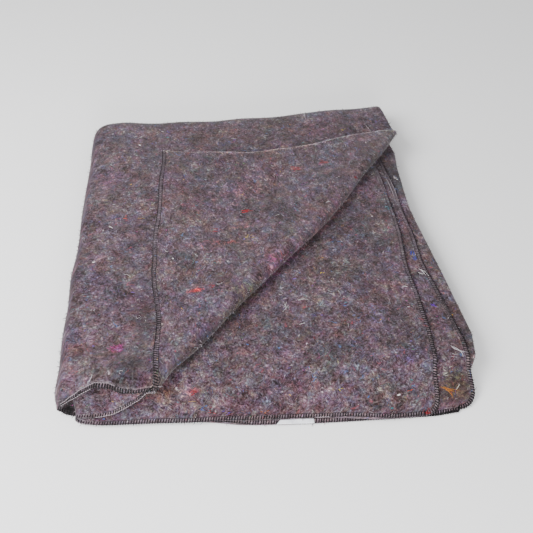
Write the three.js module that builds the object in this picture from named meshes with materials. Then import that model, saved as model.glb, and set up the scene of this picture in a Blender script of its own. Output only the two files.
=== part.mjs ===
// A wool blanket of recycled fibre, folded for the shelf: quartered along its length, then folded in three
// across its width, with the front corner of the two outer plies turned back over the pile. One cloth, and a
// label on its hem.
//
// Millimetres, +Z up, +X to the right and +Y to the back. The cloth is laid out in three steps:
//   1. foldLength lays the length in four plies, one above the other. A place in that stack is
//      (x, run, level): run goes along the blanket's width and level out from the stack's inner face.
//   2. turnBack rolls the front corner of the two outer plies over a slanting crease.
//   3. carry takes the stack along the path of the two cross folds and down over the front edge.
import * as THREE from "three";

// Cloth: a sheet of about 1870 by 1470 with its corners cut round
const thickness = 3;
const plyPitch = 3.7; // from the middle of one ply to the middle of the next
const slack = plyPitch - thickness;
const stack = 4 * plyPitch;
const cornerRadius = { tucked: 28, front: 22 };

// The path across the width, seen from the side. The stack's inner face runs along it.
const tuckedLength = 405; // the third folded in first, inside the pile
const frontFoldY = 53;
const backFoldY = 527;
const tuckRadius = 0.7; // inside radius of the front cross fold
const backRadius = stack / 2 + tuckRadius; // the back one goes round the tucked third
const undersideLevel = stack - slack / 2; // height of the bottom third's inner face
const mostOut = 82; // the hems reach up to this far past the front fold

// The top third comes down over the front fold, steeper at the left, and eases out onto the table.
const frontDrop = [
  { x: 0, turn: 60, footRadius: 42 },
  { x: 49, turn: 52, footRadius: 48 },
  { x: 107, turn: 42, footRadius: 62 },
  { x: 200, turn: 36, footRadius: 70 },
];

// How far the back fold wanders from straight. Its left corner is round.
const backLine = [
  { x: -5, shift: -42 },
  { x: 2, shift: -31 },
  { x: 6, shift: -24 },
  { x: 16, shift: -16 },
  { x: 49, shift: -13 },
  { x: 107, shift: -17 },
  { x: 200, shift: -17 },
  { x: 300, shift: -13 },
  { x: 400, shift: -5 },
  { x: 500, shift: 2 },
];

// The crease of the turned-back corner, in the plan of the top third
const creaseFoot = new THREE.Vector2(115, 28);
const creaseTip = new THREE.Vector2(496, 467);
// Where the crease bends out to the front, or back
const creaseBows = [
  { share: 0, height: -8, reach: 0.07 },
  { share: 0.6, height: 11, reach: 0.2 },
];
const rollRadius = [
  { share: 0, radius: 2.5 },
  { share: 0.35, radius: 5.5 },
  { share: 0.7, radius: 4.2 },
  { share: 1, radius: 1 },
];
const settleLength = 80; // the turned-back corner comes down onto the cloth within this
const rollSteps = 4;

// Soft lifts of the outer plies near the front hem
const footLift = { x: 107, y: 24, height: 8, reach: 45 };
const hemWave = [
  { x: 16, lift: 0 },
  { x: 30, lift: 5 },
  { x: 49, lift: 9 },
  { x: 65, lift: 6 },
  { x: 80, lift: 6 },
  { x: 97, lift: 0 },
];
const hemWaveReach = 70;

// The outer left fold is pressed flat at its front end.
const pinch = { toX: 16, share: 0.35, reach: 70 };

// Label: only what shows in front of the third ply's hem
const label = { x: 260, width: 46, slant: 5, pastHem: 0.8, thickness: 0.5, clearance: 0.5 };

const degrees = Math.PI / 180;
const clamp = (t) => Math.min(Math.max(t, 0), 1);
const ease = (t) => clamp(t) ** 2 * (3 - 2 * clamp(t));
const mix = (a, b, t) => a + (b - a) * t;
const steps = (from, to, count) => Array.from({ length: count + 1 }, (_, i) => mix(from, to, i / count));

// A column of a table, at a place between its rows
function lookUp(rows, key, column, at) {
  const next = rows.findIndex((row) => at < row[key]);
  if (next === 0) return rows[0][column];
  if (next < 0) return rows.at(-1)[column];
  const [a, b] = [rows[next - 1], rows[next]];
  return mix(a[column], b[column], (at - a[key]) / (b[key] - a[key]));
}

// ---- The path across the width ----

// Straight lengths, and arcs by inside radius and the degrees they turn. Where both are minus, the arc bends
// back.
const flatLength = backFoldY - frontFoldY;
const settledLegs = [
  { length: tuckedLength },
  { radius: tuckRadius, turn: 180 },
  { length: flatLength },
  { radius: backRadius, turn: 180 },
  { length: flatLength },
];
const midRadius = (radius) => radius + (radius > 0 ? stack / 2 : 0);
const legLength = ({ length, radius, turn }) => length ?? midRadius(radius) * turn * degrees;
const runs = settledLegs.reduce((list, leg) => [...list, list.at(-1) + legLength(leg)], [0]);
const frontRun = runs.at(-1);
const onTop = (y) => frontRun + frontFoldY - y; // the run of a place y on the top third, and back
const onTucked = (y) => frontFoldY + tuckedLength - y;

function legsAt(x) {
  const turn = lookUp(frontDrop, "x", "turn", x);
  const footRadius = lookUp(frontDrop, "x", "footRadius", x);
  const overRadius = stack + tuckRadius;
  const fall = 2 * overRadius - (overRadius + footRadius) * (1 - Math.cos(turn * degrees));
  return [
    ...settledLegs,
    { radius: overRadius, turn },
    { length: fall / Math.sin(turn * degrees) },
    { radius: -footRadius, turn: -turn },
    { length: mostOut },
  ];
}

const outward = (heading) => new THREE.Vector2(Math.sin(heading), -Math.cos(heading));

function alongLeg(leg, from, length) {
  if (leg.length) {
    const step = new THREE.Vector2(Math.cos(from.heading), Math.sin(from.heading)).multiplyScalar(length);
    return { place: from.place.clone().add(step), heading: from.heading };
  }
  const heading = from.heading + (leg.turn * degrees * length) / legLength(leg);
  const centre = from.place.clone().addScaledVector(outward(from.heading), -leg.radius);
  return { place: centre.addScaledVector(outward(heading), leg.radius), heading };
}

// Takes a place in the stack along the path to where it lies.
function carry({ x, run, level }) {
  const start = new THREE.Vector2(frontFoldY + tuckedLength, undersideLevel + 2 * tuckRadius);
  let at = { place: start, heading: Math.PI };
  let left = run;
  for (const leg of legsAt(x)) {
    const length = Math.min(left, legLength(leg));
    at = alongLeg(leg, at, length);
    left -= length;
    if (left <= 0) break;
  }
  const place = at.place.addScaledVector(outward(at.heading), level);
  place.x += ease((place.x - 250) / 280) * lookUp(backLine, "x", "shift", x);
  return new THREE.Vector3(x, place.x, place.y);
}

// ---- The four plies ----

// Where the folds and side hems lie along the pile
const edges = {
  outerLeft: [
    { run: onTucked(52), x: 4 },
    { run: onTop(527), x: 1 },
    { run: onTop(460), x: 0 },
    { run: onTop(60), x: 0 },
    { run: onTop(10), x: -3 },
  ],
  innerLeft: [{ run: 0, x: 19 }],
  rightFold: [
    { run: onTucked(458), x: 486 },
    { run: onTucked(430), x: 491 },
    { run: onTucked(325), x: 487 },
    { run: onTucked(265), x: 493 },
    { run: onTucked(185), x: 507 },
    { run: onTucked(80), x: 520 },
    { run: onTucked(52), x: 517 },
    { run: onTucked(35), x: 507 },
    { run: onTucked(-60), x: 496 },
    { run: onTop(640), x: 478 },
    { run: onTop(560), x: 475 },
    { run: onTop(527), x: 485 },
    { run: onTop(480), x: 495 },
    { run: onTop(430), x: 507 },
    { run: onTop(350), x: 514 },
    { run: onTop(265), x: 520 },
    { run: onTop(195), x: 534 },
    { run: onTop(138), x: 547 },
    { run: onTop(58), x: 575 },
  ],
  thirdHem: [
    { run: 0, x: 450 },
    { run: onTop(400), x: 453 },
    { run: onTop(290), x: 462 },
    { run: onTop(177), x: 461 },
    { run: onTop(95), x: 466 },
    { run: onTop(0), x: 463 },
  ],
  fourthHem: [
    { run: onTucked(458), x: 466 },
    { run: onTop(423), x: 465 },
    { run: onTop(344), x: 473 },
    { run: onTop(271), x: 479 },
    { run: onTop(208), x: 484 },
    { run: onTop(115), x: 499 },
    { run: onTop(72), x: 507 },
    { run: onTop(0), x: 509 },
  ],
};

// How far the front hem of each ply reaches past the front fold, along the path
const frontHems = {
  third: [
    { x: 18, out: 63 },
    { x: 30, out: 66 },
    { x: 49, out: 67.5 },
    { x: 200, out: 68.5 },
    { x: 300, out: 72.5 },
    { x: 350, out: 74 },
    { x: 400, out: 80.5 },
    { x: 440, out: 81 },
  ],
  second: [
    { x: 18, out: 58.5 },
    { x: 49, out: 56 },
    { x: 65, out: 53 },
    { x: 80, out: 46 },
    { x: 97, out: 33 },
    { x: 107, out: 24 },
    { x: 150, out: 24 },
    { x: 200, out: 25.5 },
    { x: 300, out: 24.5 },
    { x: 350, out: 21 },
    { x: 400, out: 12.5 },
    { x: 575, out: -3 },
  ],
  top: [
    { x: 0, out: 43 },
    { x: 16, out: 27 },
    { x: 30, out: 20 },
    { x: 49, out: 15 },
    { x: 65, out: 16 },
    { x: 80, out: 19.5 },
    { x: 97, out: 22 },
    { x: 107, out: 21 },
    { x: 150, out: 22 },
    { x: 200, out: 24.5 },
    { x: 300, out: 24.5 },
    { x: 350, out: 21 },
    { x: 400, out: 12.5 },
    { x: 575, out: -3 },
  ],
  fourth: [
    { x: 0, out: 50 },
    { x: 16, out: 54 },
    { x: 200, out: 70 },
    { x: 230, out: 75 },
    { x: 300, out: 78.5 },
    { x: 400, out: 80 },
    { x: 455, out: 80 },
    { x: 475, out: 78 },
    { x: 512, out: 73 },
  ],
};

// Where the facets of the plies meet, the same from ply to ply
const coarse = [49, 107, 200, 300, 400];
const fine = [30, 49, 65, 80, 97, 107, 150, 200, 250, 300, 350, 400];
const besideHem = 40; // and this far in from a side hem

// Plies and folds in turn, from hem to hem. way is the side that a ply runs to and that a fold lies at, and
// level counts plies out from the stack's inner face.
const strip = [
  { ply: "third", way: -1, from: "thirdHem", to: "innerLeft", level: 1, stops: coarse.toReversed() },
  { fold: "innerLeft", way: -1, level: 1, toLevel: 2, columns: 4 },
  { ply: "second", way: 1, from: "innerLeft", to: "rightFold", level: 2, stops: fine },
  { fold: "rightFold", way: 1, level: 2, toLevel: 3, columns: 4 },
  { ply: "top", way: -1, from: "rightFold", to: "outerLeft", level: 3, stops: [pinch.toX, ...fine].reverse() },
  { fold: "outerLeft", way: -1, level: 3, toLevel: 0, columns: 6 },
  { ply: "fourth", way: 1, from: "outerLeft", to: "fourthHem", level: 0, stops: [pinch.toX, ...coarse] },
];
let lastColumn = 0;
for (const part of strip) {
  part.start = lastColumn;
  if (part.from?.endsWith("Hem")) part.stops = ["besideHem", ...part.stops];
  if (part.to?.endsWith("Hem")) part.stops = [...part.stops, "besideHem"];
  part.columns ??= part.stops.length + 1;
  lastColumn += part.columns;
}
const foldRadius = ({ level, toLevel }) => (Math.abs(toLevel - level) * plyPitch) / 2;

function partAt(column) {
  const index = strip.findLastIndex((part) => column >= part.start);
  const part = strip[index];
  return { part, before: strip[index - 1], after: strip[index + 1], past: column - part.start };
}

// Where a column lies from left to right. A hemmed end may be cut back by its round corner.
function xOf(column, run, cut = 0) {
  const { part, before, after, past } = partAt(column);
  if (part.fold) return lookUp(edges[part.fold], "run", "x", run);
  const from = lookUp(edges[part.from], "run", "x", run) - (before ? before.way * foldRadius(before) : cut);
  const to = lookUp(edges[part.to], "run", "x", run) - (after ? after.way * foldRadius(after) : cut);
  const hem = (before ? to : from) + cut;
  const stops = [from, ...part.stops.map((stop) => (stop === "besideHem" ? hem - besideHem : stop)), to];
  const i = Math.min(Math.floor(past), part.columns - 1);
  return mix(stops[i], stops[i + 1], past - i);
}

// The run at which a column meets the front hem
function hemRun(column) {
  const { part, before, after, past } = partAt(column);
  const out = ({ ply }) => lookUp(frontHems[ply], "x", "out", xOf(column, frontRun));
  return frontRun + (part.ply ? out(part) : mix(out(before), out(after), past / part.columns));
}

// Lays a place of the cloth, by column and row, into the stack. side is how far it is off the cloth's middle.
function foldLength({ column, row }, side) {
  const { part, past } = partAt(column);
  const end = hemRun(column);
  const last = end - 25;
  const run = row < last ? row : mix(last, end, (row - last) / (frontRun + mostOut - last));
  const fromHem = Math.min(run, end - run);
  const radius = run < end / 2 ? cornerRadius.tucked : cornerRadius.front;
  const cut = radius - Math.sqrt(radius ** 2 - Math.max(radius - fromHem, 0) ** 2);
  const place = { x: xOf(column, run, cut), run, level: (part.level + 0.5) * plyPitch };
  if (part.ply) {
    place.level += side * part.way;
    return place;
  }
  const bend = foldRadius(part);
  const up = Math.sign(part.toLevel - part.level);
  const reach = bend - side * part.way * up;
  const angle = (past / part.columns) * Math.PI;
  place.x += part.way * (reach * Math.sin(angle) - bend);
  place.level += up * (bend - reach * Math.cos(angle));
  return place;
}

// ---- The turned-back corner and the lifts ----

const creaseLength = creaseTip.distanceTo(creaseFoot);
const creaseWay = creaseTip.clone().sub(creaseFoot).normalize();
const creaseSide = new THREE.Vector2(creaseWay.y, -creaseWay.x); // towards the corner that turns back

function nearCrease({ x, run }) {
  const from = new THREE.Vector2(x, onTop(run)).sub(creaseFoot);
  const share = clamp(from.dot(creaseWay) / creaseLength);
  const bow = (at) => at.height * Math.exp(-(((share - at.share) / at.reach) ** 2));
  const past = from.dot(creaseSide) - creaseBows.reduce((sum, at) => sum + bow(at), 0);
  return { past, radius: lookUp(rollRadius, "share", "radius", share) };
}

const isOuter = ({ column }) => column >= strip[2].start && column <= strip[5].start;

function turnBack({ x, run, level }) {
  const { past, radius } = nearCrease({ x, run });
  if (past <= 0) return { x, run, level, beyond: 0 };
  const arc = Math.PI * (radius + plyPitch);
  const angle = Math.min(past / arc, 1) * Math.PI;
  const beyond = Math.max(past - arc, 0);
  const reach = radius + stack - level;
  const moved = reach * Math.sin(angle) - beyond - past;
  return {
    x: x + creaseSide.x * moved,
    run: run - creaseSide.y * moved,
    level: stack + radius - reach * Math.cos(angle) - 2 * radius * ease(beyond / settleLength),
    beyond,
  };
}

// How far a place is lifted, or pressed down, out of its level
function liftAt(point, { x, run, level, beyond }) {
  const y = onTop(run);
  const left = strip[4].start + strip[4].columns;
  if (!isOuter(point) && point.column < left) return 0;
  const near = Math.exp(-((x - footLift.x) ** 2 + (y - footLift.y) ** 2) / footLift.reach ** 2);
  const foot = footLift.height * near * ease(x / 60) * (1 + 0.25 * ease(beyond / 20));
  const lift = point.column <= left ? foot : 0;
  const onHem = point.column > strip[4].start && point.column <= left && beyond === 0;
  const wave = onHem ? lookUp(hemWave, "x", "lift", x) * ease(1 - (y - 30) / hemWaveReach) : 0;
  const press = pinch.share * clamp(1 - x / pinch.toX) * ease(1 - (y - 20) / pinch.reach);
  return lift + wave - (point.column >= strip[4].start ? press * (level - stack / 2) : 0);
}

function layDown(point, side) {
  const middle = isOuter(point) ? turnBack(foldLength(point, 0)) : { ...foldLength(point, 0), beyond: 0 };
  const place = isOuter(point) ? turnBack(foldLength(point, side)) : foldLength(point, side);
  return carry({ ...place, level: place.level + liftAt(point, middle) });
}

// ---- The cloth's mesh ----

const halfwayRow = onTop(130);
const rows = [
  ...[0, cornerRadius.tucked / 4, cornerRadius.tucked],
  ...[runs[1]],
  ...steps(runs[1], runs[2], 6).slice(1),
  ...steps(runs[2], runs[3], 2).slice(1),
  ...steps(runs[3], runs[4], 6).slice(1),
  ...steps(runs[4], halfwayRow, 4).slice(1),
  ...steps(halfwayRow, frontRun, 3).slice(1),
  ...steps(frontRun, frontRun + 16, 4).slice(1),
  ...steps(frontRun + 16, frontRun + mostOut - cornerRadius.front, 4).slice(1),
  ...[frontRun + mostOut - cornerRadius.front / 4, frontRun + mostOut],
];

// The columns that a row has: the outer plies get their fine stops only near the front.
function columnsAt(row) {
  return strip.flatMap(({ stops, start, columns }) => {
    const all = steps(start, start + columns, columns).slice(0, -1);
    const skipped = (i) => i > 0 && stops && fine.includes(stops[i - 1]) && !coarse.includes(stops[i - 1]);
    return row < halfwayRow ? all.filter((_, i) => !skipped(i)) : all;
  }).concat(lastColumn);
}

function clothMesh() {
  const points = [];
  const lines = rows.map((row) => columnsAt(row).map((column) => points.push({ column, row }) - 1));
  const triangles = [];
  for (let i = 1; i < lines.length; i++) {
    const [low, high] = [lines[i - 1], lines[i]];
    for (let a = 0, b = 0; a < low.length - 1 || b < high.length - 1; ) {
      const nextLow = points[low[a + 1]]?.column ?? Infinity;
      const nextHigh = points[high[b + 1]]?.column ?? Infinity;
      const level = nextLow === nextHigh; // then the plies' diagonals lie one over the other
      const lowFirst = level ? partAt(points[low[a]].column).part.way > 0 : nextLow < nextHigh;
      if (lowFirst) triangles.push([low[a], low[++a], high[b]]);
      else triangles.push([low[a], high[b + 1], high[b++]]);
    }
  }
  return { points, triangles };
}

// Cuts the triangles of the turned-back corner along the line where its roll has turned by a given angle.
function cutAtTurn(mesh, angle) {
  const { points } = mesh;
  const height = points.map((point) => {
    if (!isOuter(point)) return -1;
    const { past, radius } = nearCrease(foldLength(point, 0));
    const over = past - angle * (radius + plyPitch);
    return Math.abs(over) < 0.8 ? 0 : over;
  });
  const cuts = new Map();
  const cutBetween = (a, b) => {
    const key = a < b ? `${a},${b}` : `${b},${a}`;
    if (!cuts.has(key)) {
      const share = height[a] / (height[a] - height[b]);
      const column = mix(points[a].column, points[b].column, share);
      const row = mix(points[a].row, points[b].row, share);
      cuts.set(key, points.push({ column, row }) - 1);
    }
    return cuts.get(key);
  };
  mesh.triangles = mesh.triangles.flatMap((corners) => {
    const turned = [0, 1, 2].map((i) => [corners[i], corners[(i + 1) % 3], corners[(i + 2) % 3]]);
    const onLine = turned.find(([a, b, c]) => height[a] === 0 && height[b] * height[c] < 0);
    if (onLine) {
      const [a, b, c] = onLine;
      const cut = cutBetween(b, c);
      return [[a, b, cut], [a, cut, c]];
    }
    const lone = turned.find(([a, b, c]) => height[a] * height[b] < 0 && height[a] * height[c] < 0);
    if (!lone) return [corners];
    const [a, b, c] = lone;
    const [ab, ac] = [cutBetween(a, b), cutBetween(a, c)];
    return [[a, ab, ac], [ab, b, c], [ab, c, ac]];
  });
}

// Gives a flat mesh its two faces and its rim. placeOf puts a point where it lies, half the thickness to a
// side.
function thicken({ points, triangles }, placeOf) {
  const count = points.length;
  const rim = new Map();
  for (const [a, b, c] of triangles) {
    for (const [from, to] of [[a, b], [b, c], [c, a]]) {
      if (!rim.delete(`${to},${from}`)) rim.set(`${from},${to}`, [from, to]);
    }
  }
  const faces = [
    ...triangles,
    ...triangles.map(([a, b, c]) => [a + count, c + count, b + count]),
    ...[...rim.values()].flatMap(([from, to]) => [[from, from + count, to + count], [from, to + count, to]]),
  ];
  const places = [0.5, -0.5].flatMap((side) => points.map((point) => placeOf(point, side)));
  const volume = faces.reduce((sum, [a, b, c]) => sum + places[a].dot(places[b].clone().cross(places[c])), 0);
  const geometry = new THREE.BufferGeometry().setFromPoints(places);
  geometry.setIndex(volume < 0 ? faces.flatMap(([a, b, c]) => [a, c, b]) : faces.flat());
  geometry.computeVertexNormals();
  return geometry;
}

function makeBlanket() {
  const mesh = clothMesh();
  for (const angle of steps(0, Math.PI, rollSteps)) cutAtTurn(mesh, angle);
  return thicken(mesh, (point, side) => layDown(point, side * thickness));
}

// The label lies on the fourth ply, from the third ply's hem to just past the fourth's.
function makeLabel() {
  const level = (plyPitch + thickness) / 2 + label.clearance + label.thickness / 2;
  const hemAt = (ply, x) => frontRun + lookUp(frontHems[ply], "x", "out", x);
  const points = steps(label.x, label.x + label.width, 4).flatMap((x, i) =>
    steps(hemAt("third", x) + 0.5, hemAt("fourth", x) + label.pastHem, 3).map((run, j) => {
      return { x: x + (label.slant * (4 - i) * (3 - j)) / 12, run };
    }),
  );
  const triangles = [];
  for (let i = 0; i < 4; i++) {
    for (let j = 0; j < 3; j++) {
      const [a, b] = [i * 4 + j, i * 4 + 4 + j];
      triangles.push([a, b, a + 1], [b, b + 1, a + 1]);
    }
  }
  const placeOf = ({ x, run }, side) => carry({ x, run, level: level + side * label.thickness });
  return thicken({ points, triangles }, placeOf);
}

// ---- Assembly ----

const finish = (name, color, roughness) =>
  new THREE.MeshStandardMaterial({ name, color, roughness, metalness: 0 });
const woolFelt = finish("wool_felt", 0x716972, 0.95);
const whiteTape = finish("white_tape", 0xdfe0e8, 0.6);

function named(name, geometry, material) {
  const mesh = new THREE.Mesh(geometry, material);
  mesh.name = name;
  return mesh;
}

const blanket = new THREE.Group();
blanket.add(named("blanket", makeBlanket(), woolFelt), named("sewn_label", makeLabel(), whiteTape));

// The part's origin is under the middle of the folded pile.
const box = new THREE.Box3().setFromObject(blanket);
const middle = box.getCenter(new THREE.Vector3());
blanket.position.set(-middle.x, -middle.y, -box.min.z);

export default blanket;
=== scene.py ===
# A folded blanket of recycled wool felt, with its overlocked hems, its label, its nap and its lint.
import bpy
import math
import numpy as np
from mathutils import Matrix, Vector
from mathutils.bvhtree import BVHTree


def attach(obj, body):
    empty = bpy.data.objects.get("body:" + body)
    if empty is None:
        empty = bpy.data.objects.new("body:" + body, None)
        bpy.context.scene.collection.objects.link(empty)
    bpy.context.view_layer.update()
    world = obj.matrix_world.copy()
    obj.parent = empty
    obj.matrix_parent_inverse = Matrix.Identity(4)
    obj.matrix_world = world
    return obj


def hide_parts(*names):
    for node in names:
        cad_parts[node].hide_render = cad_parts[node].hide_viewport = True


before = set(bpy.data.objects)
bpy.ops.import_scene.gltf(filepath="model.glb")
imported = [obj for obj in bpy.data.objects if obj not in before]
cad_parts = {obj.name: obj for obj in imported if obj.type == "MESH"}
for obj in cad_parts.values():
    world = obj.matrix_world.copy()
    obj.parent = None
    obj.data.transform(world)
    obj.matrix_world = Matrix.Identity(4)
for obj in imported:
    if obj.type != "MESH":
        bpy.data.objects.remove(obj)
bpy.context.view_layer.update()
seeds = np.random.default_rng(7)
print("frame loaded")

# Camera: place in metres, degrees below the horizon and turned to the right, lens in millimetres
view = {"place": (-0.0311, -0.5743, 0.692), "below": 51.92, "turned": 4.25, "lens": 40.52}


def makeCamera():
    camera = bpy.data.objects.new("camera", bpy.data.cameras.new("camera"))
    bpy.context.scene.collection.objects.link(camera)
    camera.location = view["place"]
    camera.rotation_euler = (math.radians(90 - view["below"]), 0, math.radians(-view["turned"]))
    camera.data.lens = view["lens"]
    camera.data.sensor_width = 36
    bpy.context.scene.camera = camera


makeCamera()


def linear(hexColour, alpha=1.0):
    channels = [int(hexColour[i : i + 2], 16) / 255 for i in (0, 2, 4)]
    return tuple(c / 12.92 if c <= 0.04045 else ((c + 0.055) / 1.055) ** 2.4 for c in channels) + (alpha,)


def shadesOf(hexColours):
    return np.array([linear(colour)[:3] for colour in hexColours])


# Sets or links a node's inputs, by name or in order. A node given as a value is linked by its first output.
def setInputs(node, inputs):
    for name, value in inputs.items() if isinstance(inputs, dict) else enumerate(inputs):
        if isinstance(value, bpy.types.Node):
            value = next(output for output in value.outputs if output.enabled)
        if isinstance(value, bpy.types.NodeSocket):
            node.id_data.links.new(value, node.inputs[name])
        else:
            node.inputs[name].default_value = value


# Adds a node with its settings and links, and spaces a ramp's colours evenly over its span
def addNode(tree, kind, inputs=(), ramp=None, **settings):
    node = tree.nodes.new("ShaderNode" + kind)
    for name, value in settings.items():
        setattr(node, name, value)
    setInputs(node, inputs)
    if ramp:
        colours, (start, end), steps = ramp["colours"], ramp.get("span", (0, 1)), ramp.get("steps", False)
        node.color_ramp.interpolation = "CONSTANT" if steps else "LINEAR"
        stops = node.color_ramp.elements
        while len(stops) < len(colours):
            stops.new(0.5)
        for i, colour in enumerate(colours):
            stops[i].position = start + (end - start) * i / (len(colours) - (not steps))
            stops[i].color = linear(colour)
    return node


def newMaterial(name):
    material = bpy.data.materials.new(name)
    material.use_nodes = True
    return material, material.node_tree, material.node_tree.nodes["Principled BSDF"]


studio = {
    "floor": "f6f6f7",
    "floorSize": 12,  # metres
    "floorDrop": 0.0003,  # keeps the floor clear of the cloth's underside
    "world": "ffffff",
    "worldStrength": 0.78,
    "lamps": [  # name, power, size and place
        ("left softbox", 44, 0.9, (-1.1, -0.45, 1.15)),
        ("front softbox", 28, 0.6, (0.0, -1.6, 0.55)),
    ],
}


def makeStudio():
    bpy.ops.object.select_all(action="DESELECT")
    bpy.ops.mesh.primitive_plane_add(size=studio["floorSize"], location=(0, 0, -studio["floorDrop"]))
    floor = bpy.context.object
    floor.name = "floor"
    material, _, shader = newMaterial("matt_white_paper")  # even and dull, so it only takes soft shadow
    setInputs(shader, {"Base Color": linear(studio["floor"]), "Roughness": 1, "Specular IOR Level": 0})
    floor.data.materials.append(material)
    world = bpy.data.worlds.new("studio")
    bpy.context.scene.world = world
    world.use_nodes = True
    background = world.node_tree.nodes["Background"]
    setInputs(background, {"Color": linear(studio["world"]), "Strength": studio["worldStrength"]})
    for name, power, size, place in studio["lamps"]:
        lamp = bpy.data.objects.new(name, bpy.data.lights.new(name, "AREA"))
        bpy.context.scene.collection.objects.link(lamp)
        lamp.data.energy = power
        lamp.data.size = size
        lamp.location = place
        lamp.rotation_euler = (Vector((0, 0, 0)) - lamp.location).to_track_quat("-Z", "Y").to_euler()


makeStudio()
print("camera and studio set")

# How the cloth is folded, in millimetres: x to the right, y to the back, z up.
# The run is the length along the cloth from the tucked third to the front hem.
pile = {
    "plyPitch": 3.7,  # from the middle of one ply to the middle of the next
    "sheet": 3,  # the cloth's thickness in the solid
    "tuckedLength": 405,  # the third folded in first
    "frontFoldY": 53,
    "backFoldY": 527,
    "tuckRadius": 0.7,  # inside the fold that the tucked third hangs from
    "mostOut": 82,  # no hem reaches further past the front fold
    "tuckedCorner": 28,  # radii of the sheet's corners
    "frontCorner": 22,
    "shift": (-257.05, -267.25, 0),  # from the pile's own corner to the frame's origin
}
plyPitch, mostOut, tuckRadius = pile["plyPitch"], pile["mostOut"], pile["tuckRadius"]
slack = plyPitch - pile["sheet"]
stack = 4 * plyPitch
backRadius = stack / 2 + tuckRadius
flatLength = pile["backFoldY"] - pile["frontFoldY"]
runTurn = pile["tuckedLength"]
runUnder = runTurn + math.pi * (tuckRadius + stack / 2)
runBack = runUnder + flatLength
runTop = runBack + math.pi * (backRadius + stack / 2)
frontRun = runTop + flatLength


def onTop(y):
    return frontRun + pile["frontFoldY"] - y


def onTucked(y):
    return pile["frontFoldY"] + pile["tuckedLength"] - y


# The front drop by x: how far it turns down, and the radius of its foot
dropTurn = [(0, 60), (49, 52), (107, 42), (200, 36)]
dropFoot = [(0, 42), (49, 48), (107, 62), (200, 70)]
# How far the back strays from a straight line, by x, and from where on the cloth follows it
backLine = [
    (-5, -42), (2, -31), (6, -24), (16, -16), (49, -13), (107, -17), (200, -17), (300, -13), (400, -5),
    (500, 2),
]
backBow = {"fromY": 250, "reach": 280}
# Folds and side hems: x by run
edges = {
    "outerLeft": [(onTucked(52), 4), (onTop(527), 1), (onTop(460), 0), (onTop(60), 0), (onTop(10), -3)],
    "innerLeft": [(0, 19)],
    "rightFold": [
        (onTucked(458), 486), (onTucked(430), 491), (onTucked(325), 487), (onTucked(265), 493),
        (onTucked(185), 507), (onTucked(80), 520), (onTucked(52), 517), (onTucked(35), 507),
        (onTucked(-60), 496), (onTop(640), 478), (onTop(560), 475), (onTop(527), 485), (onTop(480), 495),
        (onTop(430), 507), (onTop(350), 514), (onTop(265), 520), (onTop(195), 534), (onTop(138), 547),
        (onTop(58), 575),
    ],
    "thirdHem": [
        (0, 450), (onTop(400), 453), (onTop(290), 462), (onTop(177), 461), (onTop(95), 466), (onTop(0), 463),
    ],
    "fourthHem": [
        (onTucked(458), 466), (onTop(423), 465), (onTop(344), 473), (onTop(271), 479), (onTop(208), 484),
        (onTop(115), 499), (onTop(72), 507), (onTop(0), 509),
    ],
}
# How far each ply's front hem reaches past the front fold, by x
frontHems = {
    "third": [(18, 63), (30, 66), (49, 67.5), (200, 68.5), (300, 72.5), (350, 74), (400, 80.5), (440, 81)],
    "second": [
        (18, 58.5), (49, 56), (65, 53), (80, 46), (97, 33), (107, 24), (150, 24), (200, 25.5), (300, 24.5),
        (350, 21), (400, 12.5), (575, -3),
    ],
    "top": [
        (0, 43), (16, 27), (30, 20), (49, 15), (65, 16), (80, 19.5), (97, 22), (107, 21), (150, 22),
        (200, 24.5), (300, 24.5), (350, 21), (400, 12.5), (575, -3),
    ],
    "fourth": [
        (0, 50), (16, 54), (200, 70), (230, 75), (300, 78.5), (400, 80), (455, 80), (475, 78), (512, 73),
    ],
}
# The corner of the two outer plies is turned back along this line, and settles flat past the roll
crease = {"foot": (115, 28), "tip": (496, 467), "settle": 80}
creaseBows = [(0, -8, 0.07), (0.6, 11, 0.2)]  # share along it, height, reach
rollRadius = [(0, 2.5), (0.35, 5.5), (0.7, 4.2), (1, 1)]  # by share along it
# The outer plies stand up at the crease's foot, the top hem waves beside it, and the left fold is pinched
footLift = {"x": 107, "y": 24, "height": 8, "reach": 45, "fromLeft": 60, "flapShare": 0.25, "flapReach": 20}
hemWave = {"rows": [(16, 0), (30, 5), (49, 9), (65, 6), (80, 6), (97, 0)], "fromY": 30, "reach": 70}
pinch = {"toX": 16, "share": 0.35, "fromY": 20, "reach": 70}

# Plies and folds in turn, from hem to hem. A column is a part's number and a share of the way across it.
strip = [
    {"ply": "third", "way": -1, "start": "thirdHem", "end": "innerLeft", "level": 1},
    {"fold": "innerLeft", "way": -1, "level": 1, "toLevel": 2},
    {"ply": "second", "way": 1, "start": "innerLeft", "end": "rightFold", "level": 2},
    {"fold": "rightFold", "way": 1, "level": 2, "toLevel": 3},
    {"ply": "top", "way": -1, "start": "rightFold", "end": "outerLeft", "level": 3},
    {"fold": "outerLeft", "way": -1, "level": 3, "toLevel": 0},
    {"ply": "fourth", "way": 1, "start": "outerLeft", "end": "fourthHem", "level": 0},
]
third, innerFold, second, rightFold, top, outerFold, fourth = range(7)


def lookUp(rows, at):
    return np.interp(at, [row[0] for row in rows], [row[1] for row in rows])


def ease(t):
    t = np.clip(t, 0, 1)
    return t * t * (3 - 2 * t)


# Radius of a fold, to the middle of its cloth
def bendOf(part):
    return abs(part["toLevel"] - part["level"]) * plyPitch / 2


def partOf(column):
    return np.clip(np.floor(column), 0, 6).astype(int)


def isOuter(column):
    return (column >= second) & (column <= outerFold)


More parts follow.
